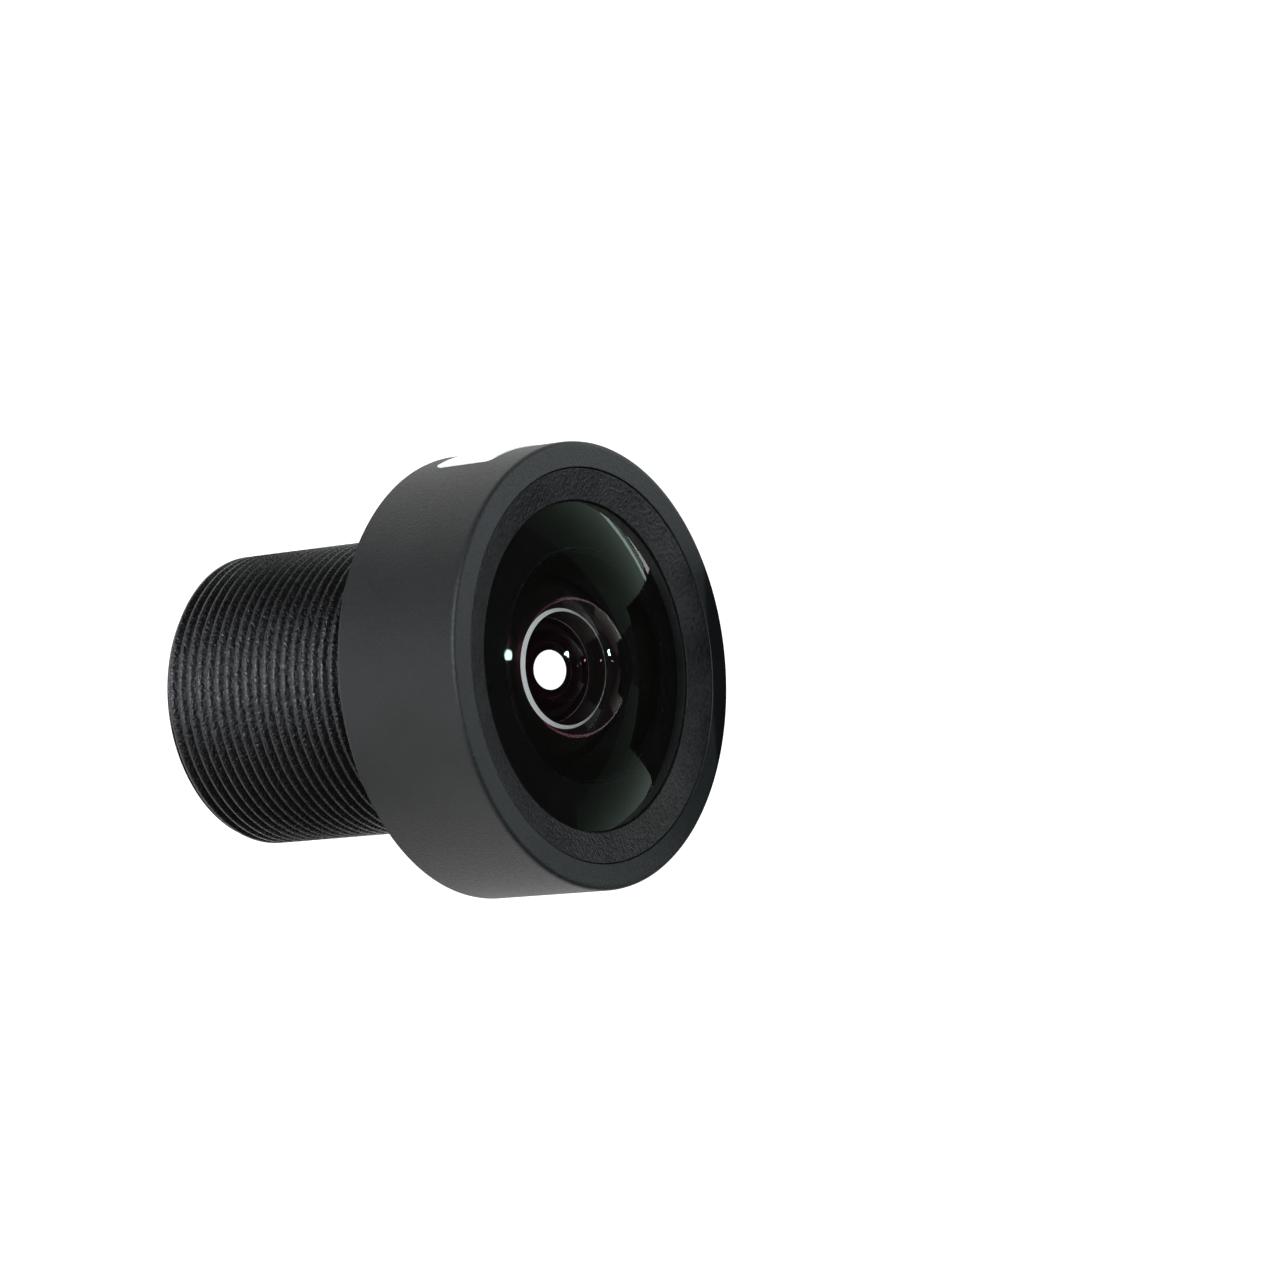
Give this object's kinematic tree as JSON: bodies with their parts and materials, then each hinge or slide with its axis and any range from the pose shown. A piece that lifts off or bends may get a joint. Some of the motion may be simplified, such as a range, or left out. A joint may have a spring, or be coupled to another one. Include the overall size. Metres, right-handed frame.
{
  "type": "m12 board camera lens",
  "caption": "Wide-angle board camera lens: M12 threaded tube, wide plain head, domed front glass in a conical retaining ring, full glass stack inside.",
  "frame": {"origin": "centre of the threaded tube's rear end face, which the lens stands on", "axes": "+Z along the optical axis towards the scene; -X is the side that carries the blank label, which runs 9 mm round the head from just past -X towards +Y"},
  "size_m": [0.0179, 0.0178, 0.0191],
  "materials": {
    "black_anodised": "black anodised, satin",
    "black_anodised_matte": "black anodised, bead-blasted",
    "coated_glass": "polished, anti-reflection coated",
    "filter_glass": "polished, infrared-cut coating",
    "seal_rubber": "matte",
    "black_film": "matte",
    "label_film": "white, matte"
  },
  "bodies": {
    "root": {"barrel": "black_anodised", "front_retaining_ring": "black_anodised_matte", "front_o_ring": "seal_rubber", "lens_1": "coated_glass", "spacer_1": "black_anodised_matte", "lens_2": "coated_glass", "light_baffle_1": "black_film", "spacer_2": "black_anodised_matte", "lens_3": "coated_glass", "aperture_stop": "black_anodised_matte", "spacer_3": "black_anodised_matte", "lens_4": "coated_glass", "lens_5": "coated_glass", "spacer_4": "black_anodised_matte", "light_baffle_2": "black_film", "lens_6": "coated_glass", "rear_retaining_ring": "black_anodised_matte", "ir_cut_filter": "filter_glass", "label": "label_film"}
  },
  "joints": []
}
